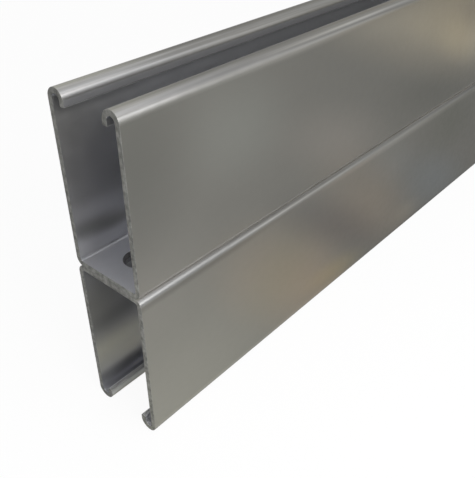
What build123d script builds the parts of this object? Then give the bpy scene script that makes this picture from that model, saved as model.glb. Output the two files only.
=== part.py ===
"""Deep framing strut: two cold-rolled lipped channels, welded web to web.

Frame: X along the strut, Y across it, Z up. The origin is at the middle of
the underside, on the crests of the lower channel's lips. Millimetres.
"""

import os

from build123d import *

# Driving dimensions
stock_length = 2000.0  # cut length of the strut
channel_width = 41.3  # one channel, outside of flange to outside of flange
channel_depth = 82.6  # one channel, back of the web to the crests of its lips
wall = 2.5  # strip thickness
web_bend_inside = 1.5  # inside radius between web and flange
lip_bend_inside = 2.25  # inside radius of the half-round lips
lip_leg = 2.35  # straight run of a lip, from its bend to its free edge
lip_edge_round = 0.5  # rounding of the free edge's two corners
slot_length = 28.0  # end to end
slot_width = 14.0
slot_pitch = 50.0
end_to_slot = 25.0  # cut end to the centre of the first slot

# Outside radii of the bends, from the strip that is bent
web_bend = web_bend_inside + wall
lip_bend = lip_bend_inside + wall

# A slot too close to the far end is left out, as at the near one
slot_count = int((stock_length - 2 * end_to_slot) // slot_pitch) + 1


def rolled_channel(up):
    """One channel with its web's back on the joint, opening up (1) or down (-1)."""
    near_end = Plane(
        origin=(-stock_length / 2, 0, channel_depth), x_dir=(0, up, 0), z_dir=(1, 0, 0)
    )
    lip_edge = channel_depth - lip_bend - lip_leg

    with BuildPart() as channel:
        # Half the section: the strip's outer face from the middle of the web
        # to the free edge of a lip, then thickened inwards and mirrored
        with BuildSketch(near_end) as section:
            with BuildLine():
                web = Line((0, 0), (channel_width / 2 - web_bend, 0))
                bend = JernArc(web @ 1, (1, 0), web_bend, 90)
                flange = Line(bend @ 1, (channel_width / 2, channel_depth - lip_bend))
                curl = JernArc(flange @ 1, (0, 1), lip_bend, 180)
                Line(curl @ 1, (channel_width / 2 - 2 * lip_bend, lip_edge))
                offset(amount=wall, side=Side.LEFT)
            make_face()
            fillet(
                section.vertices().filter_by_position(Axis.Y, lip_edge, lip_edge),
                radius=lip_edge_round,
            )
            mirror(about=Plane.YZ)
        extrude(amount=stock_length)

        # Slots punched through the web, counted from the near end
        with BuildSketch(Plane.XY.offset(channel_depth)):
            with Locations((-stock_length / 2 + end_to_slot, 0)):
                with GridLocations(
                    slot_pitch, 0, slot_count, 1, align=(Align.MIN, Align.CENTER)
                ):
                    SlotOverall(slot_length, slot_width)
        extrude(amount=up * wall, mode=Mode.SUBTRACT)
    return channel


upper_channel = rolled_channel(up=1)
upper_channel.part.label = "upper_channel"

lower_channel = rolled_channel(up=-1)
lower_channel.part.label = "lower_channel"

os.makedirs("parts", exist_ok=True)
export_step(upper_channel.part, "parts/upper_channel.step")
export_step(lower_channel.part, "parts/lower_channel.step")
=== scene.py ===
import math

import bmesh
import bpy
from mathutils import Matrix, Vector


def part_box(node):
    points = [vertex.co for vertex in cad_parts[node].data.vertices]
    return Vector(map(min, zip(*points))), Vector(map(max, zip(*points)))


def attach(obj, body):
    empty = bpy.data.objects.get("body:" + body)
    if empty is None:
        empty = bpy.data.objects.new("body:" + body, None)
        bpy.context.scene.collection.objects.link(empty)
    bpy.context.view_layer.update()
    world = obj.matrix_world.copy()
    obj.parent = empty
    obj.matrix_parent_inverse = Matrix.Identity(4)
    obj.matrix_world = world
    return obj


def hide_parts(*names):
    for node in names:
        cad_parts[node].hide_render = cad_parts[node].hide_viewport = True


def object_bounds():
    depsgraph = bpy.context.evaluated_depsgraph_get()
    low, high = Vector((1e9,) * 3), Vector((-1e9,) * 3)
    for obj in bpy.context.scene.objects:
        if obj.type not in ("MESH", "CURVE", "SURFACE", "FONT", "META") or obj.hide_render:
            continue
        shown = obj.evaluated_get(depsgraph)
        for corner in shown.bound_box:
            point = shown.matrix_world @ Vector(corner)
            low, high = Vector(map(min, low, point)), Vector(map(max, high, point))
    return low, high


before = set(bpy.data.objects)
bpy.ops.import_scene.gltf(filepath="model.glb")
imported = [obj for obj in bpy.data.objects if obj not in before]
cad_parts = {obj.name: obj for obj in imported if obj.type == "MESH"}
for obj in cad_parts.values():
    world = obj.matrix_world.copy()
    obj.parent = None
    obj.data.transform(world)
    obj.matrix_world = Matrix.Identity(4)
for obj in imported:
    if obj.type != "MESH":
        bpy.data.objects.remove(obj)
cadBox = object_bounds()
nearEnd, farEnd = cadBox[0].x, cadBox[1].x
nearFoot = Vector((nearEnd, 0, cadBox[0].z))  # the middle of the near end, on the floor
print("frame loaded:", ", ".join(sorted(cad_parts)))


def standAt(place, right, upward, forward):
    # place and turn of a camera or lamp, measured from the foot of the near end
    turn = Matrix((right, upward, -forward)).transposed().to_4x4()
    return Matrix.Translation(nearFoot + Vector(place)) @ turn


# Camera, set first so that every render has the same view

cameraValues = {
    "place": (-0.122858, -0.181879, 0.250263),  # from the foot of the near end
    "heading": 41.347,  # degrees from +X towards +Y
    "down": 34.467,  # degrees below level
    "roll": -0.294,
    "lens": 47.681,  # millimetres, as is the sensor's width
    "sensor": 36.0,
    "nearestSeen": 0.01,
}


def addCamera(v):
    heading, down, roll = (math.radians(v[key]) for key in ("heading", "down", "roll"))
    flat = Vector((math.cos(heading), math.sin(heading), 0))
    forward = flat * math.cos(down) - Vector((0, 0, math.sin(down)))
    level = forward.cross(Vector((0, 0, 1))).normalized()
    plumb = level.cross(forward)
    right = level * math.cos(roll) + plumb * math.sin(roll)
    upward = plumb * math.cos(roll) - level * math.sin(roll)
    data = bpy.data.cameras.new("camera")
    data.lens = v["lens"]
    data.sensor_width = v["sensor"]
    data.clip_start = v["nearestSeen"]
    camera = bpy.data.objects.new("camera", data)
    camera.matrix_world = standAt(v["place"], right, upward, forward)
    bpy.context.collection.objects.link(camera)
    bpy.context.scene.camera = camera


addCamera(cameraValues)
print("camera set")


# Node helpers

def addNode(tree, kind, settings=None, **inputs):
    # sockets go by name, or as i0, i1 ... by number
    node = tree.nodes.new(kind)
    for key, value in (settings or {}).items():
        setattr(node, key, value)
    for key, value in inputs.items():
        numbered = key[0] == "i" and key[1:].isdigit()
        feed(tree, node.inputs[int(key[1:]) if numbered else key], value)
    return node


def feed(tree, socket, value):
    if isinstance(value, bpy.types.NodeSocket):
        tree.links.new(value, socket)
    elif socket.type == "RGBA":
        socket.default_value = (*value, 1)
    else:
        socket.default_value = value


def newGroup(name, inputs, outputs):
    group = bpy.data.node_groups.new(name, "ShaderNodeTree")
    for label, kind, value in inputs:
        socket = group.interface.new_socket(label, in_out="INPUT", socket_type="NodeSocket" + kind)
        if value is not None:
            socket.default_value = value
    for label, kind in outputs:
        group.interface.new_socket(label, in_out="OUTPUT", socket_type="NodeSocket" + kind)
    start = group.nodes.new("NodeGroupInput")
    end = group.nodes.new("NodeGroupOutput")
    return group, start.outputs, end.inputs


def useGroup(tree, group, **inputs):
    node = tree.nodes.new("ShaderNodeGroup")
    node.node_tree = group
    for key, value in inputs.items():
        feed(tree, node.inputs[key], value)
    return node.outputs


def calc(tree, operation, a, b=0.0):
    return addNode(tree, "ShaderNodeMath", {"operation": operation}, i0=a, i1=b).outputs[0]


def ramp(tree, value, fromLow, fromHigh, toLow=0.0, toHigh=1.0, soft=False):
    kind = "SMOOTHSTEP" if soft else "LINEAR"
    return addNode(tree, "ShaderNodeMapRange", {"interpolation_type": kind}, i0=value, i1=fromLow,
                   i2=fromHigh, i3=toLow, i4=toHigh).outputs[0]


def noise(tree, vector, scale, detail, roughness=0.5):
    made = addNode(tree, "ShaderNodeTexNoise", Vector=vector, Scale=scale, Detail=detail,
                   Roughness=roughness)
    return made.outputs["Fac"]


def mixColour(tree, factor, a, b, blend="MIX"):
    # sockets 6 and 7 take the two colours, and output 2 gives the mixed one
    node = addNode(tree, "ShaderNodeMix", {"data_type": "RGBA", "blend_type": blend}, i0=factor,
                   i6=a, i7=b)
    return node.outputs[2]


def axes(tree, vector):
    return addNode(tree, "ShaderNodeSeparateXYZ", Vector=vector).outputs


# Effects that several of the steels share

effectValues = {
    "paintedNearEnd": (0.33, 0.55),  # from the near end, where its own painted reflections and shade give way to the clouds
    "backFace": (0.0193, 0.0205),  # across the strut, from the far flange to the back's outer face
    "farHalf": (-0.01, 0.0),  # across the strut, from the near half to the far one
    "cloudEdge": (0.35, 0.7),  # noise levels of no cloud and of full cloud, as in the edges below
    "cloudRoughness": 0.4,
    "tintShift": (3.1, 7.7, 1.9),  # keeps the drifts of tint apart from the clouds
    "lineStretch": (0.012, 1, 1),
    "lineShare": 0.6,  # share of the rolling lines in the relief; the spangle has the rest
    "bandEdge": (0.35, 0.65),
    "bendTurn": (0.08, 0.5),  # normal's Y times its Z, from flat to bent
    "slotwardTurn": (0.97, 1.0),  # how squarely a face looks at the middle plane
    "blotchEdge": (0.34, 0.64),
}


def makeZincClouds(v):
    # broad soft clouds in the zinc, and slower drifts of its tint; the near end carries painted
    # reflections and shade of its own, so the clouds are left out on its outer face and weak inside
    group, given, out = newGroup(
        "zincClouds",
        [("Position", "Vector", None), ("Scale", "Float", 6.0), ("Stretch", "Vector", (1, 1, 1)),
         ("Turn", "Vector", (0, 0, 0)), ("Shift", "Vector", (0, 0, 0)), ("Inside", "Float", 0.4)],
        [("Cloud", "Float"), ("Tint", "Float")],
    )
    turned = addNode(group, "ShaderNodeMapping", Vector=given["Position"], Rotation=given["Turn"])
    placed = addNode(group, "ShaderNodeMapping", Vector=turned.outputs[0], Location=given["Shift"],
                     Scale=given["Stretch"]).outputs[0]
    cloud = noise(group, placed, given["Scale"], detail=1.5, roughness=v["cloudRoughness"])
    moved = addNode(group, "ShaderNodeVectorMath", {"operation": "ADD"}, i0=placed, i1=v["tintShift"])
    tint = noise(group, moved.outputs[0], given["Scale"], detail=1.0, roughness=v["cloudRoughness"])
    place = axes(group, given["Position"])
    start, end = v["paintedNearEnd"]
    away = ramp(group, place["X"], nearEnd + start, nearEnd + end, soft=True)
    outside = calc(group, "MAXIMUM", away, ramp(group, place["Y"], *v["backFace"], soft=True))
    inside = calc(group, "MULTIPLY", ramp(group, place["Y"], *v["farHalf"]), given["Inside"])
    share = calc(group, "MAXIMUM", outside, inside)
    for made, label in ((cloud, "Cloud"), (tint, "Tint")):
        patchy = ramp(group, made, *v["cloudEdge"], soft=True)
        group.links.new(calc(group, "MULTIPLY", patchy, share), out[label])
    return group


def makePaintedLightPatch():
    # one soft-edged patch of painted light or shade; Size is its half length, reach through the sheet
    # and half height
    group, given, out = newGroup(
        "paintedLightPatch",
        [("Position", "Vector", None), ("Centre", "Vector", (0, 0, 0)), ("Turn", "Vector", (0, 0, 0)),
         ("Size", "Vector", (0.1, 0.02, 0.03))],
        [("Mask", "Float")],
    )
    local = addNode(group, "ShaderNodeMapping", {"vector_type": "TEXTURE"}, Vector=given["Position"],
                    Location=given["Centre"], Rotation=given["Turn"], Scale=given["Size"])
    reach = addNode(group, "ShaderNodeVectorMath", {"operation": "LENGTH"}, i0=local.outputs[0])
    group.links.new(ramp(group, reach.outputs["Value"], 1.0, 0.0, soft=True), out["Mask"])
    return group


def makeRollGrain(v):
    # fine lines and duller bands left along the strip by the rolls, and a faint spangle
    group, given, out = newGroup(
        "rollGrain",
        [("Position", "Vector", None), ("LineScale", "Float", 900.0), ("SpangleScale", "Float", 260.0)],
        [("Height", "Float"), ("Lines", "Float"), ("Bands", "Float"), ("Spangle", "Float")],
    )
    drawn = addNode(group, "ShaderNodeMapping", Vector=given["Position"], Scale=v["lineStretch"])
    lines = noise(group, drawn.outputs[0], given["LineScale"], detail=3.0, roughness=0.6)
    bands = noise(group, drawn.outputs[0], given["LineScale"], detail=1.0)
    spangle = noise(group, given["Position"], given["SpangleScale"], detail=2.0)
    height = calc(group, "ADD", calc(group, "MULTIPLY", lines, v["lineShare"]),
                  calc(group, "MULTIPLY", spangle, 1 - v["lineShare"]))
    group.links.new(height, out["Height"])
    group.links.new(lines, out["Lines"])
    group.links.new(ramp(group, bands, *v["bandEdge"], soft=True), out["Bands"])
    group.links.new(spangle, out["Spangle"])
    return group


def makeBendMasks(v):
    # Bend: the turned strips, given a colour of their own that paints highlight or shade. Slotward: lip
    # faces turned to the open slot
    group, given, out = newGroup(
        "bendMasks",
        [("Position", "Vector", None), ("Normal", "Vector", None)],
        [("Bend", "Float"), ("Slotward", "Float")],
    )
    normal = axes(group, given["Normal"])
    turned = calc(group, "ABSOLUTE", calc(group, "MULTIPLY", normal["Y"], normal["Z"]))
    group.links.new(ramp(group, turned, *v["bendTurn"], soft=True), out["Bend"])
    side = calc(group, "SIGN", axes(group, given["Position"])["Y"])
    inward = calc(group, "MULTIPLY", calc(group, "MULTIPLY", normal["Y"], side), -1.0)
    group.links.new(ramp(group, inward, *v["slotwardTurn"], soft=True), out["Slotward"])
    return group


def makeTornMetal(v):
    # smeared and torn metal on sawn or punched faces
    group, given, out = newGroup(
        "tornMetal",
        [("Position", "Vector", None), ("Scale", "Float", 420.0), ("Stretch", "Vector", (1, 1, 1))],
        [("Blotch", "Float"), ("Height", "Float")],
    )
    placed = addNode(group, "ShaderNodeMapping", Vector=given["Position"], Scale=given["Stretch"])
    coarse = noise(group, placed.outputs[0], given["Scale"], detail=4.0, roughness=0.62)
    group.links.new(ramp(group, coarse, *v["blotchEdge"]), out["Blotch"])
    group.links.new(coarse, out["Height"])
    return group


zincClouds = makeZincClouds(effectValues)
paintedLightPatch = makePaintedLightPatch()
rollGrain = makeRollGrain(effectValues)
bendMasks = makeBendMasks(effectValues)
tornMetal = makeTornMetal(effectValues)
print("shared effects made")


def newMaterial(name):
    material = bpy.data.materials.new(name)
    material.use_nodes = True
    tree = material.node_tree
    return material, tree, tree.nodes["Principled BSDF"]


def newSteel(name):
    material, tree, shader = newMaterial(name)
    shader.inputs["Specular Tint"].default_value = (0.55, 0.55, 0.55, 1)  # less glare at low angles
    return material, tree, shader, addNode(tree, "ShaderNodeTexCoord").outputs


def addRelief(tree, shader, height, v):
    bump = addNode(tree, "ShaderNodeBump", Height=height, Strength=v["bump"], Distance=v["bumpDepth"])
    feed(tree, shader.inputs["Normal"], bump.outputs[0])


sheetValues = {
    # the same on both faces of the strip
    "cloudStretch": (0.6, 1.0, 1.6),
    "cloudTurn": (0, 0.6, 0),  # radians
    "cloudInside": 0.4,  # share of the clouds left inside the far half
    "lineScale": 900.0,
    "lines": 0.012,  # how much the rolling lines change the colour
    "spangleScale": 260.0,
    "spangleEdge": (0.3, 0.7),  # noise levels between which the roughness goes from low to high
    "bump": 0.03,
    "bumpDepth": 0.0005,
}

outerSteelValues = sheetValues | {
    "base": (0.170, 0.167, 0.152),
    "cloud": (1.55, 1.44, 1.27),  # what the light clouds multiply the base by
    "shade": (0.77, 0.81, 0.87),  # the same for the drifts of tint
    # a lighter, cooler colour on the bends than on the flats: painted highlight
    "bend": (0.240, 0.238, 0.228),
    "bendBands": (0.82, 0.81, 0.79),  # what the duller bands along a bend multiply it by
    # lighter on the lip faces turned to the slot: painted fill light
    "slotwardPaintedFill": (0.27, 0.27, 0.275),
    "metallic": (0.9, 0.75),  # in the open, and on the lip faces turned to the slot
    "cloudScale": 5.0,
    "cloudShift": (0.0, 0.0, 0.0),
    "roughness": (0.30, 0.36),
    "bendRoughness": 0.93,  # share of it left on the bends
    # Painted light and shade, mostly studio reflections on the near end's side face. Each holds: centre
    # from the foot of the near end, degrees that they fall along the strut, size each way from the
    # centre, and what they multiply the colour by
    "paintedLight": [
        ((0.325, -0.0206, 0.150), 17, (0.150, 0.02, 0.042), (1.62, 1.48, 1.28)),
        ((0.232, -0.0206, 0.137), 20, (0.190, 0.02, 0.030), (1.54, 1.46, 1.32)),
        ((0.000, -0.0206, 0.143), 0, (0.050, 0.02, 0.060), (0.76, 0.77, 0.77)),
        ((0.062, -0.0206, 0.138), 20, (0.050, 0.02, 0.034), (1.14, 1.17, 1.17)),
        ((0.145, -0.0206, 0.103), 22, (0.080, 0.02, 0.026), (1.24, 1.20, 1.19)),
        ((0.000, -0.0206, 0.085), 0, (0.060, 0.02, 0.035), (1.10, 1.09, 1.09)),
        ((-0.010, -0.0206, -0.010), 0, (0.210, 0.02, 0.125), (1.72, 1.72, 1.66)),
        ((0.112, -0.0206, 0.030), 37, (0.105, 0.02, 0.042), (1.38, 1.20, 1.04)),
        ((0.150, -0.0206, 0.046), 34, (0.100, 0.02, 0.022), (0.80, 0.78, 0.80)),
        ((0.190, -0.0206, 0.042), 37, (0.110, 0.02, 0.036), (1.28, 1.17, 1.08)),
        ((0.280, -0.0206, 0.022), 26, (0.095, 0.02, 0.032), (1.05, 1.12, 1.22)),
        ((0.285, -0.0206, 0.122), 20, (0.060, 0.02, 0.020), (1.30, 1.26, 1.18)),
        ((0.165, -0.0206, 0.157), 8, (0.050, 0.02, 0.012), (1.08, 1.08, 1.08)),
        ((0.252, -0.0206, 0.150), 24, (0.095, 0.02, 0.034), (1.42, 1.36, 1.24)),
        ((0.250, -0.0206, 0.098), 14, (0.090, 0.02, 0.024), (0.88, 0.89, 0.88)),
        ((0.210, -0.0206, 0.066), 14, (0.045, 0.02, 0.024), (1.13, 1.14, 1.16)),
        ((0.292, -0.0206, 0.064), 14, (0.060, 0.02, 0.030), (0.89, 0.91, 0.88)),
        ((0.095, -0.0206, 0.044), 0, (0.045, 0.02, 0.044), (0.91, 0.94, 0.93)),
        ((0.155, -0.0206, 0.012), 10, (0.045, 0.02, 0.014), (1.20, 1.15, 0.98)),
        ((0.240, -0.0206, 0.014), 10, (0.030, 0.02, 0.012), (1.18, 1.16, 1.12)),
        ((0.202, -0.0206, 0.153), 20, (0.060, 0.02, 0.022), (1.12, 1.11, 1.10)),
        ((0.315, -0.0206, 0.122), 0, (0.040, 0.02, 0.030), (1.28, 1.28, 1.28)),
        # painted light: a lift on the rest of the length, against the lamps' fall-off, and on the back,
        # which lies in shade
        ((1.250, -0.0206, 0.083), 0, (0.900, 0.02, 0.600), (1.40, 1.40, 1.40)),
        ((1.000, 0.0206, 0.083), 0, (3.000, 0.0020, 0.600), (1.50, 1.50, 1.48)),
    ],
    "bendPatches": [  # painted highlight on the bends near the end, where the ones above don't act
        ((0.000, 0.0000, 0.0826), 0, (0.140, 0.1000, 0.3000), (1.16, 1.17, 1.22)),
    ],
    "lipPaintedLight": [  # painted highlights and shade lines, on bends and flats alike
        # far lip
        ((0.000, 0.0168, 0.1652), 0, (0.075, 0.0050, 0.0024), (1.75, 1.74, 1.66)),
        ((0.030, 0.0155, 0.1652), 0, (0.030, 0.0018, 0.0018), (1.16, 1.16, 1.16)),
        ((0.004, 0.0134, 0.1645), 0, (0.040, 0.0016, 0.0016), (0.80, 0.80, 0.81)),
        ((0.000, 0.0120, 0.1632), 0, (0.110, 0.0013, 0.0014), (1.50, 1.50, 1.54)),
        ((0.055, 0.0125, 0.1638), 0, (0.040, 0.0013, 0.0013), (0.78, 0.78, 0.78)),
        ((0.110, 0.0117, 0.1627), 0, (0.060, 0.0011, 0.0011), (1.14, 1.14, 1.14)),
        ((0.050, 0.0138, 0.1647), 0, (0.020, 0.0009, 0.0009), (1.13, 1.13, 1.13)),
        ((0.105, 0.0136, 0.1646), 0, (0.030, 0.0010, 0.0010), (0.89, 0.89, 0.89)),
        ((0.100, 0.0163, 0.1652), 0, (0.030, 0.0008, 0.0010), (0.82, 0.82, 0.82)),
        ((0.000, 0.0114, 0.1621), 0, (0.120, 0.0015, 0.0015), (0.48, 0.48, 0.49)),
        ((0.085, 0.0178, 0.1648), 0, (0.100, 0.0017, 0.0017), (0.84, 0.84, 0.84)),
        # near lip
        ((0.000, -0.0150, 0.1652), 0, (0.050, 0.0050, 0.0024), (1.72, 1.71, 1.66)),
        ((0.160, -0.0140, 0.1648), 0, (0.150, 0.0026, 0.0022), (0.62, 0.62, 0.62)),
        ((0.000, -0.0193, 0.1638), 0, (0.026, 0.0012, 0.0012), (1.22, 1.22, 1.23)),
        ((0.022, -0.0199, 0.1630), 0, (0.028, 0.0012, 0.0012), (1.20, 1.20, 1.22)),
        ((0.055, -0.0192, 0.1639), 0, (0.044, 0.0016, 0.0016), (0.78, 0.78, 0.78)),
        ((0.142, -0.0191, 0.1640), 0, (0.080, 0.0012, 0.0012), (1.54, 1.54, 1.52)),
        ((0.060, -0.0205, 0.1618), 0, (0.190, 0.0018, 0.0020), (1.34, 1.34, 1.35)),
        ((0.130, -0.0199, 0.1630), 0, (0.100, 0.0012, 0.0012), (0.80, 0.80, 0.80)),
        ((0.210, -0.0201, 0.1625), 0, (0.080, 0.0018, 0.0018), (0.87, 0.87, 0.87)),
        ((0.000, -0.0206, 0.1612), 0, (0.020, 0.0010, 0.0014), (1.14, 1.14, 1.14)),
        ((0.000, -0.0181, 0.1646), 0, (0.012, 0.0010, 0.0010), (0.87, 0.87, 0.87)),
        ((0.166, -0.0165, 0.1652), 0, (0.048, 0.0030, 0.0015), (0.80, 0.80, 0.80)),
        ((0.000, -0.0202, 0.1625), 0, (0.009, 0.0016, 0.0016), (0.84, 0.84, 0.84)),
        ((0.105, -0.0206, 0.1608), 0, (0.060, 0.0018, 0.0022), (1.24, 1.24, 1.24)),
        # joint between the channels
        ((1.000, -0.0200, 0.0844), 0, (3.000, 0.0024, 0.0018), (2.00, 1.97, 1.92)),
        ((1.000, -0.0182, 0.0824), 0, (3.000, 0.0014, 0.0011), (2.20, 2.17, 2.12)),
        ((0.000, -0.0199, 0.0848), 0, (0.150, 0.0022, 0.0020), (1.42, 1.42, 1.42)),
        ((1.000, -0.0196, 0.0813), 0, (3.000, 0.0013, 0.0013), (0.66, 0.66, 0.66)),
        ((0.000, -0.0200, 0.0808), 0, (0.045, 0.0013, 0.0016), (0.83, 0.83, 0.83)),
        ((0.080, -0.0190, 0.0819), 0, (0.110, 0.0009, 0.0009), (0.80, 0.80, 0.80)),
        ((0.080, -0.0199, 0.0809), 0, (0.060, 0.0012, 0.0012), (1.24, 1.24, 1.24)),
        ((0.030, -0.0206, 0.0786), 0, (0.090, 0.0022, 0.0034), (0.74, 0.74, 0.74)),
        ((0.120, -0.0202, 0.0805), 0, (0.070, 0.0014, 0.0014), (1.28, 1.28, 1.28)),
        ((0.240, -0.0206, 0.0788), 0, (0.170, 0.0024, 0.0032), (1.40, 1.40, 1.40)),
        ((0.340, -0.0200, 0.0808), 0, (0.150, 0.0018, 0.0014), (0.70, 0.70, 0.70)),
        ((0.400, -0.0184, 0.0829), 0, (0.230, 0.0016, 0.0012), (1.60, 1.60, 1.60)),
        # near lip of the lower channel
        ((0.000, -0.0195, 0.0022), 0, (0.300, 0.0030, 0.0030), (1.20, 1.20, 1.20)),
        ((0.060, -0.0206, 0.0043), 0, (0.170, 0.0018, 0.0020), (1.20, 1.20, 1.20)),
        ((0.270, -0.0203, 0.0030), 0, (0.130, 0.0020, 0.0026), (0.62, 0.62, 0.62)),
        ((0.265, -0.0200, 0.0022), 0, (0.140, 0.0022, 0.0016), (0.74, 0.74, 0.74)),
        ((0.130, -0.0206, 0.0055), 0, (0.060, 0.0018, 0.0030), (1.07, 1.07, 1.07)),
        # far lip of the lower channel
        ((0.040, 0.0112, 0.0035), 0, (0.300, 0.0040, 0.0090), (2.05, 2.06, 1.93)),
        ((0.000, 0.0125, 0.0008), 0, (0.300, 0.0040, 0.0040), (1.50, 1.50, 1.38)),
    ],
}

innerSteelPaintedFillValues = sheetValues | {
    # far lighter than the outer steel, though the same zinc: painted fill light for the shaded insides
    # of the troughs
    "base": (0.60, 0.605, 0.63),
    "cloud": (1.15, 1.15, 1.15),
    "shade": (0.875, 0.875, 0.875),
    # darker on the inner bends: painted shade
    "bend": (0.50, 0.505, 0.53),
    "bendBands": (0.92, 0.92, 0.92),
    "slotwardPaintedFill": (0.60, 0.605, 0.63),
    "metallic": (0.9, 0.88),
    "cloudScale": 7.0,
    "cloudShift": (0.3, 0.0, 0.0),
    "roughness": (0.30, 0.38),
    "bendRoughness": 1.1,
    "paintedLight": [
        # painted reflections and shade on the far flange of the upper trough
        ((0.000, 0.0182, 0.125), 0, (0.026, 0.02, 0.075), (0.72, 0.71, 0.69)),
        ((0.000, 0.0182, 0.150), 0, (0.060, 0.02, 0.060), (0.88, 0.87, 0.84)),
        ((0.300, 0.0182, 0.158), 0, (0.600, 0.02, 0.030), (0.80, 0.80, 0.77)),
        ((0.028, 0.0182, 0.097), 0, (0.060, 0.02, 0.018), (1.22, 1.22, 1.22)),
        ((0.014, 0.0182, 0.0980), 3, (0.036, 0.02, 0.0070), (0.64, 0.64, 0.62)),
        ((0.023, 0.0182, 0.0955), 0, (0.018, 0.02, 0.0045), (0.80, 0.80, 0.79)),
        ((0.008, 0.0182, 0.1078), 0, (0.024, 0.02, 0.0075), (1.26, 1.26, 1.27)),
        ((0.027, 0.0182, 0.118), 0, (0.020, 0.02, 0.018), (0.79, 0.79, 0.78)),
        ((0.008, 0.0182, 0.141), 0, (0.022, 0.02, 0.013), (1.13, 1.13, 1.12)),
        ((0.026, 0.0182, 0.154), 0, (0.040, 0.02, 0.0028), (0.80, 0.80, 0.80)),
        # painted reflections and shade on the far flange of the lower trough
        ((0.000, 0.0182, 0.055), 0, (0.040, 0.02, 0.038), (0.66, 0.65, 0.58)),
        ((0.010, 0.0182, 0.028), 0, (0.060, 0.02, 0.018), (0.96, 0.94, 0.80)),
        ((0.010, 0.0182, 0.0115), 0, (0.080, 0.02, 0.0055), (0.70, 0.70, 0.70)),
        ((0.000, 0.0182, 0.018), 0, (0.024, 0.02, 0.014), (0.76, 0.76, 0.72)),
        ((0.030, 0.0182, 0.005), 0, (0.018, 0.02, 0.005), (1.60, 1.60, 1.62)),
        ((0.024, 0.0182, 0.0455), 0, (0.042, 0.02, 0.0090), (0.74, 0.74, 0.73)),
        ((0.014, 0.0182, 0.0315), 0, (0.038, 0.02, 0.0090), (1.14, 1.14, 1.12)),
        ((0.016, 0.0182, 0.0770), 0, (0.022, 0.02, 0.0070), (1.18, 1.18, 1.18)),
        ((0.023, 0.0182, 0.0180), 0, (0.020, 0.02, 0.0110), (0.92, 0.90, 0.82)),
        # painted shade in what shows through the first slot, a painted lift on the web, and painted
        # shade in the hollow of the near lip
        ((0.046, 0.0182, 0.057), 0, (0.030, 0.02, 0.024), (0.21, 0.20, 0.20)),
        ((0.010, 0.0080, 0.0851), 0, (0.024, 0.012, 0.010), (1.14, 1.14, 1.15)),
        ((0.000, -0.0150, 0.160), 0, (0.030, 0.006, 0.009), (0.55, 0.54, 0.52)),
    ],
    "bendPatches": [],
    "lipPaintedLight": [
        # painted shade and highlight along the corner of the far flange and the web, then painted fill
        # light on the lower channel's near and far lips
        ((0.080, 0.0175, 0.0854), 0, (0.200, 0.0018, 0.0018), (0.64, 0.64, 0.64)),
        ((0.040, 0.0180, 0.0860), 0, (0.060, 0.0009, 0.0009), (1.75, 1.75, 1.75)),
        ((0.000, -0.0159, 0.0040), 0, (0.020, 0.0040, 0.0060), (1.55, 1.53, 1.48)),
        ((0.016, 0.0180, 0.0052), 0, (0.016, 0.0050, 0.0032), (1.40, 1.40, 1.42)),
    ],
}


def addPaintedLight(tree, position, base, paintedLight):
    # each entry multiplies the colour by its tone inside a soft mask: painted light or shade
    for centre, fall, size, tone in paintedLight:
        patch = useGroup(tree, paintedLightPatch, Position=position, Centre=nearFoot + Vector(centre), Size=size,
                         Turn=(0, math.radians(fall), 0))
        base = mixColour(tree, patch["Mask"], base, tone, "MULTIPLY")
    return base


def makeRolledSteel(name, v):
    material, tree, shader, coordinates = newSteel(name)
    position = coordinates["Object"]
    clouds = useGroup(tree, zincClouds, Position=position, Scale=v["cloudScale"], Turn=v["cloudTurn"],
                      Stretch=v["cloudStretch"], Shift=v["cloudShift"], Inside=v["cloudInside"])
    grain = useGroup(tree, rollGrain, Position=position, LineScale=v["lineScale"],
                     SpangleScale=v["spangleScale"])
    masks = useGroup(tree, bendMasks, Position=position, Normal=coordinates["Normal"])
    base = mixColour(tree, clouds["Cloud"], v["base"], v["cloud"], "MULTIPLY")
    base = mixColour(tree, clouds["Tint"], base, v["shade"], "MULTIPLY")
    base = mixColour(tree, masks["Slotward"], base, v["slotwardPaintedFill"])
    base = addPaintedLight(tree, position, base, v["paintedLight"])
    bend = mixColour(tree, grain["Bands"], v["bend"], v["bendBands"], "MULTIPLY")
    bend = addPaintedLight(tree, position, bend, v["bendPatches"])
    base = mixColour(tree, masks["Bend"], base, bend)
    base = addPaintedLight(tree, position, base, v["lipPaintedLight"])
    lines = ramp(tree, grain["Lines"], 0.0, 1.0, 1 - v["lines"], 1 + v["lines"])
    base = mixColour(tree, 1.0, base, lines, "MULTIPLY")
    feed(tree, shader.inputs["Base Color"], base)
    low, high = v["roughness"]
    rubbed = ramp(tree, masks["Bend"], 0.0, 1.0, 1.0, v["bendRoughness"])
    spangled = ramp(tree, grain["Spangle"], *v["spangleEdge"], low, high)
    feed(tree, shader.inputs["Roughness"], calc(tree, "MULTIPLY", spangled, rubbed))
    feed(tree, shader.inputs["Metallic"], ramp(tree, masks["Slotward"], 0.0, 1.0, *v["metallic"]))
    addRelief(tree, shader, grain["Height"], v)
    return material


cutSteelValues = {
    "dark": (0.136, 0.136, 0.127),
    "light": (0.275, 0.275, 0.259),
    "metallic": 1.0,
    "scale": 380.0,
    "stretch": (1, 1, 1),
    "roughness": (0.45, 0.6),
    "bump": 0.4,
    "bumpDepth": 0.0004,
    "paintedLight": [
        # painted light on the near end's cut faces
        ((0.000, -0.0194, 0.0200), 0, (0.020, 0.0080, 0.0500), (1.20, 1.20, 1.16)),
        ((0.000, -0.0150, 0.0040), 0, (0.020, 0.0110, 0.0090), (1.12, 1.12, 1.08)),
        ((0.000, -0.0175, 0.0860), 0, (0.020, 0.0080, 0.0120), (1.22, 1.22, 1.20)),
    ],
}

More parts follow.
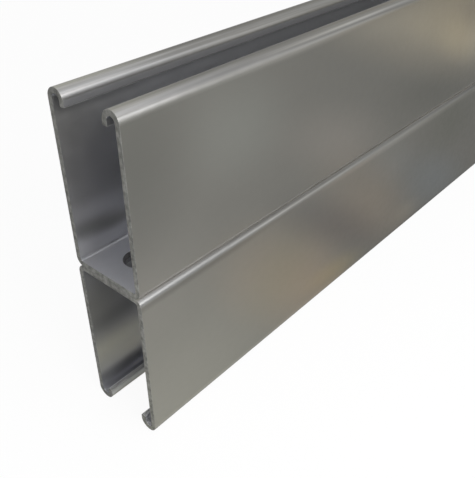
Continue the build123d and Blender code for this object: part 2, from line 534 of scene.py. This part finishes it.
punchedSteelValues = {
    "dark": (0.225, 0.215, 0.230),
    "light": (0.350, 0.340, 0.355),
    "metallic": 0.6,
    "scale": 500.0,
    "stretch": (1, 1, 0.15),
    "roughness": (0.35, 0.55),
    "bump": 0.4,
    "bumpDepth": 0.0004,
    "paintedLight": [],
}

slitSteelValues = {
    # much lighter than the sawn ends: painted fill light on the lip edges inside the lower trough
    "dark": (0.42, 0.42, 0.43),
    "light": (0.70, 0.70, 0.69),
    "metallic": 0.5,
    "scale": 500.0,
    "stretch": (0.3, 1, 1),
    "roughness": (0.35, 0.5),
    "bump": 0.3,
    "bumpDepth": 0.0004,
    "paintedLight": [
        # painted shade at the near end of the far lip below, then a painted highlight line along its
        # inner corner
        ((0.000, 0.0118, 0.0071), 0, (0.012, 0.0030, 0.0030), (0.62, 0.62, 0.61)),
        ((1.000, 0.0137, 0.0071), 0, (3.000, 0.0007, 0.0007), (2.90, 2.90, 3.00)),
    ],
}


def makeTornSteel(name, v):
    material, tree, shader, coordinates = newSteel(name)
    position = coordinates["Object"]
    torn = useGroup(tree, tornMetal, Position=position, Scale=v["scale"], Stretch=v["stretch"])
    base = mixColour(tree, torn["Blotch"], v["dark"], v["light"])
    feed(tree, shader.inputs["Base Color"], addPaintedLight(tree, position, base, v["paintedLight"]))
    low, high = v["roughness"]
    feed(tree, shader.inputs["Roughness"], ramp(tree, torn["Blotch"], 0.0, 1.0, high, low))
    shader.inputs["Metallic"].default_value = v["metallic"]
    addRelief(tree, shader, torn["Height"], v)
    return material


steels = [
    makeRolledSteel("outerSteel", outerSteelValues),
    makeRolledSteel("innerSteelPaintedFill", innerSteelPaintedFillValues),
    makeTornSteel("cutSteel", cutSteelValues),
    makeTornSteel("punchedSteel", punchedSteelValues),
    makeTornSteel("slitSteel", slitSteelValues),
]
outerFace, innerFace, cutFace, punchedFace, slitFace = range(len(steels))
print("steels made:", len(steels))


# The two rolled channels

channelValues = {
    "wall": 0.0025,
    "webBend": 0.0040,  # outside radius, web to flange
    "lipBend": 0.00475,  # outside radius of the rolled lip
    "lipLeg": 0.00235,  # straight part below the lip's bend
    "lipRound": 0.0005,  # rounding of the lip's free edge, outside
    "lipBurr": 0.0003,  # the same inside; more than cutBevel, so that the end faces stay whole
    "bendSteps": 12,
    "lipSteps": 28,
    "edgeSteps": 3,
    "slotLength": 0.028,
    "slotWidth": 0.014,
    "slotPitch": 0.050,
    "slotSteps": 12,  # in a quarter turn
    "slotMargin": 0.004,  # web kept beyond each end of a slot in its own cell
    "weldEvery": 2,  # gaps between slots from one spot weld to the next
    "weldRadius": 0.0036,
    "weldDepth": 0.00022,
    # from the weld mark's rim to its floor, as shares of its radius and depth
    "weldProfile": ((1.0, 0), (0.9, 0.25), (0.78, 0.8), (0.64, 1.0), (0.3, 1.0)),
    "cutBevel": 0.00018,  # at the cut ends and round the slots
    "bevelSegments": 2,
    "sharpAngle": 60,  # degrees; what turns less isn't bevelled
    "flatWeight": 80,  # pull of the large faces on the shading
}


def arc(centre, radius, start, end, steps):
    points = []
    for i in range(steps + 1):
        angle = math.radians(start + (end - start) * i / steps)
        points.append((centre[0] + radius * math.cos(angle), centre[1] + radius * math.sin(angle)))
    return points


def halfSection(v, halfWidth, depth):
    # (y, height over the web's back) from the middle of the back, round the outside and home inside
    wall, lip, edge, burr = v["wall"], v["lipBend"], v["lipRound"], v["lipBurr"]
    bendCentre = (halfWidth - v["webBend"], v["webBend"])
    lipCentre = (halfWidth - lip, depth - lip)
    legOut = halfWidth - 2 * lip
    edgeHeight = lipCentre[1] - v["lipLeg"] + edge
    outside = [(0, 0)]
    outside += arc(bendCentre, v["webBend"], -90, 0, v["bendSteps"])
    outside += arc(lipCentre, lip, 0, 180, v["lipSteps"])
    outside += arc((legOut + edge, edgeHeight), edge, 180, 270, v["edgeSteps"])
    inside = arc((legOut + wall - burr, edgeHeight - edge + burr), burr, 270, 360, v["edgeSteps"])
    inside += arc(lipCentre, lip - wall, 180, 0, v["lipSteps"])
    inside += arc(bendCentre, v["webBend"] - wall, 0, -90, v["bendSteps"])
    inside += [(0, wall)]
    return outside + inside, len(outside)


class ChannelMesh:
    def __init__(self, name, up, v):
        self.v = v
        self.up = up
        low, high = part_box(name)
        self.joint = low.z if up > 0 else high.z  # level of the web's back
        half, self.outsideCount = halfSection(v, high.y, high.z - low.z)
        self.section = half + [(-y, z) for y, z in reversed(half[1:-1])]
        self.top = len(half) - 1  # middle of the web's inner face; its back's middle is 0
        self.bm = bmesh.new()

    def point(self, x, y, z):
        return self.bm.verts.new((x, y, self.joint + self.up * z))

    def face(self, verts, material):
        face = self.bm.faces.new(verts)
        face.material_index = material
        face.smooth = True

    def ring(self, x):
        return [self.point(x, y, z) for y, z in self.section]

    def span(self, start, end, skip=()):
        # skin from one station to the next
        count = len(self.section)
        for i in range(count):
            j = (i + 1) % count
            if i in skip:
                continue
            half = min(i, count - 1 - i)
            slit = abs(half + 0.5 - self.outsideCount) <= self.v["edgeSteps"]
            material = slitFace if slit else outerFace if half < self.outsideCount else innerFace
            self.face([start[i], end[i], end[j], start[j]], material)

    def slotHalf(self, centre, z):
        radius = self.v["slotWidth"] / 2
        reach = self.v["slotLength"] / 2 - radius
        path = arc((centre - reach, 0), radius, 180, 90, self.v["slotSteps"])
        path += arc((centre + reach, 0), radius, 90, 0, self.v["slotSteps"])
        return [(x, y, z) for x, y in path]

    def roundHalf(self, centre, z, radius):
        return [(x, y, z) for x, y in arc((centre, 0), radius, 180, 0, 2 * self.v["slotSteps"])]

    def loop(self, halfPath):
        # vertices of a loop on the middle line: its right half, then its left half
        right = [self.point(*p) for p in halfPath]
        left = [self.point(x, -y, z) for x, y, z in halfPath[1:-1]]
        return right + left[::-1]

    def webAround(self, start, end, loop, inside):
        # web faces from the two stations to a loop between them
        mid = self.top if inside else 0
        right, left = (mid - 1, mid + 1) if inside else (1, len(self.section) - 1)
        turn = len(loop) // 2
        rightHalf = [start[mid]] + loop[:turn + 1] + [end[mid], end[right], start[right]]
        leftHalf = [end[mid]] + loop[turn:] + [loop[0], start[mid], start[left], end[left]]
        material = innerFace if inside else outerFace
        for verts in (rightHalf, leftHalf):
            self.face(verts, material)

    def wallBetween(self, first, second, material):
        for i in range(len(first)):
            j = (i + 1) % len(first)
            self.face([first[i], second[i], second[j], first[j]], material)

    def addSlot(self, start, end, centre):
        back = self.loop(self.slotHalf(centre, 0))
        inside = self.loop(self.slotHalf(centre, self.v["wall"]))
        self.webAround(start, end, back, False)
        self.webAround(start, end, inside, True)
        self.wallBetween(back, inside, punchedFace)

    def addWeld(self, start, end, centre):
        # electrode mark on the inner face
        previous = None
        for share, drop in self.v["weldProfile"]:
            height = self.v["wall"] - self.v["weldDepth"] * drop
            loop = self.loop(self.roundHalf(centre, height, self.v["weldRadius"] * share))
            if previous is None:
                self.webAround(start, end, loop, True)
            else:
                self.wallBetween(previous, loop, innerFace)
            previous = loop
        self.face(previous, innerFace)


def rollStrip(made, v):
    # from cut end to cut end: a plain or welded stretch, then one with a slot, again and again
    webBack = {0, len(made.section) - 1}
    webInside = {made.top - 1, made.top}
    reach = v["slotLength"] / 2 + v["slotMargin"]
    last = made.ring(nearEnd)
    made.face(last, cutFace)
    for i in range(round((farEnd - nearEnd) / v["slotPitch"])):
        centre = nearEnd + (i + 0.5) * v["slotPitch"]
        start, end = made.ring(centre - reach), made.ring(centre + reach)
        hasWeld = i > 0 and i % v["weldEvery"] == 0
        made.span(last, start, webInside if hasWeld else ())
        if hasWeld:
            made.addWeld(last, start, centre - v["slotPitch"] / 2)
        made.span(start, end, webBack | webInside)
        made.addSlot(start, end, centre)
        last = end
    end = made.ring(farEnd)
    made.span(last, end)
    made.face(end, cutFace)


def makeChannel(name, up, v):
    made = ChannelMesh(name, up, v)
    rollStrip(made, v)
    bmesh.ops.recalc_face_normals(made.bm, faces=made.bm.faces)
    mesh = bpy.data.meshes.new(name + "_rolled")
    made.bm.to_mesh(mesh)
    made.bm.free()
    for steel in steels:
        mesh.materials.append(steel)
    channel = bpy.data.objects.new(name + "_rolled", mesh)
    bpy.context.collection.objects.link(channel)

    bevel = channel.modifiers.new("deburredEdges", "BEVEL")
    bevel.width = v["cutBevel"]
    bevel.segments = v["bevelSegments"]
    bevel.material = cutFace
    bevel.limit_method = "ANGLE"
    bevel.angle_limit = math.radians(v["sharpAngle"])
    weighted = channel.modifiers.new("flatFaces", "WEIGHTED_NORMAL")
    weighted.weight = v["flatWeight"]
    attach(channel, "root")
    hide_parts(name)
    print(name, "rolled:", len(mesh.polygons), "faces")


makeChannel("upper_channel", 1, channelValues)
makeChannel("lower_channel", -1, channelValues)


# Studio

studioValues = {
    "floorColour": (0.78, 0.78, 0.78),
    "floorReach": 14,
    "floorDrop": 0.0002,  # under the lips' crests, so that the faces don't meet
    "floorSeen": 0.94,  # share of plain white in what the camera sees of the floor
    "floorMirrored": 0.26,  # the same in reflections
    "worldLevel": 0.56,
    "boxes": {
        # name: (place and aim from the near end's foot, size across and along the strut, watts)
        "sideBox": ((0.54, -1.2, 0.74), (0.02, 0, 0.1), (0.66, 0.42), 5.6),
        "topBox": ((0.5, -0.1, 1.35), (0.05, 0, 0.1), (1.5, 0.6), 2.6),
        "backBox": ((0.6, 1.1, 0.85), (0.02, 0, 0.16), (0.6, 0.42), 0.6),
        "footBox": ((-0.06, -0.5, 0.4), (0.03, -0.05, 0), (0.3, 0.3), 3.0),
    },
}


def seenWhite(tree):
    # masks for what the camera sees itself, and for what it sees mirrored
    path = tree.nodes.new("ShaderNodeLightPath")
    mirrored = calc(tree, "MAXIMUM", path.outputs["Is Glossy Ray"], path.outputs["Is Transmission Ray"])
    return path.outputs["Is Camera Ray"], mirrored


def addFloor(v):
    bm = bmesh.new()
    bmesh.ops.create_grid(bm, x_segments=1, y_segments=1, size=v["floorReach"])
    mesh = bpy.data.meshes.new("floor")
    bm.to_mesh(mesh)
    bm.free()
    floor = bpy.data.objects.new("floor", mesh)
    floor.location.z = nearFoot.z - v["floorDrop"]
    bpy.context.collection.objects.link(floor)
    material, tree, shader = newMaterial("paleFloor")
    shader.inputs["Base Color"].default_value = (*v["floorColour"], 1)
    shader.inputs["Roughness"].default_value = 1
    shader.inputs["Specular IOR Level"].default_value = 0
    seen, mirrored = seenWhite(tree)
    share = calc(tree, "ADD", calc(tree, "MULTIPLY", seen, v["floorSeen"]),
                 calc(tree, "MULTIPLY", mirrored, v["floorMirrored"]))
    white = addNode(tree, "ShaderNodeEmission", Strength=1.0)
    both = addNode(tree, "ShaderNodeMixShader", i0=share, i1=shader.outputs[0], i2=white.outputs[0])
    tree.links.new(both.outputs[0], tree.nodes["Material Output"].inputs["Surface"])
    mesh.materials.append(material)


def addWorld(v):
    world = bpy.data.worlds.new("studio")
    bpy.context.scene.world = world
    world.use_nodes = True
    tree = world.node_tree
    seen, mirrored = seenWhite(tree)
    level = ramp(tree, calc(tree, "MAXIMUM", seen, mirrored), 0.0, 1.0, v["worldLevel"], 1.0)
    background = tree.nodes["Background"]
    background.inputs["Color"].default_value = (1, 1, 1, 1)
    tree.links.new(level, background.inputs["Strength"])


def addBox(name, place, target, size, watts):
    data = bpy.data.lights.new(name, "AREA")
    data.shape = "RECTANGLE"
    data.size, data.size_y = size
    data.energy = watts
    lamp = bpy.data.objects.new(name, data)
    aim = (Vector(target) - Vector(place)).normalized()
    across = aim.cross(Vector((1, 0, 0))).normalized()
    lamp.matrix_world = standAt(place, across, across.cross(aim), aim)
    lamp.visible_camera = False
    bpy.context.collection.objects.link(lamp)


addFloor(studioValues)
addWorld(studioValues)
for boxName, (place, target, size, watts) in studioValues["boxes"].items():
    addBox(boxName, place, target, size, watts)
bpy.context.scene.view_settings.view_transform = "Standard"
print("studio lit")
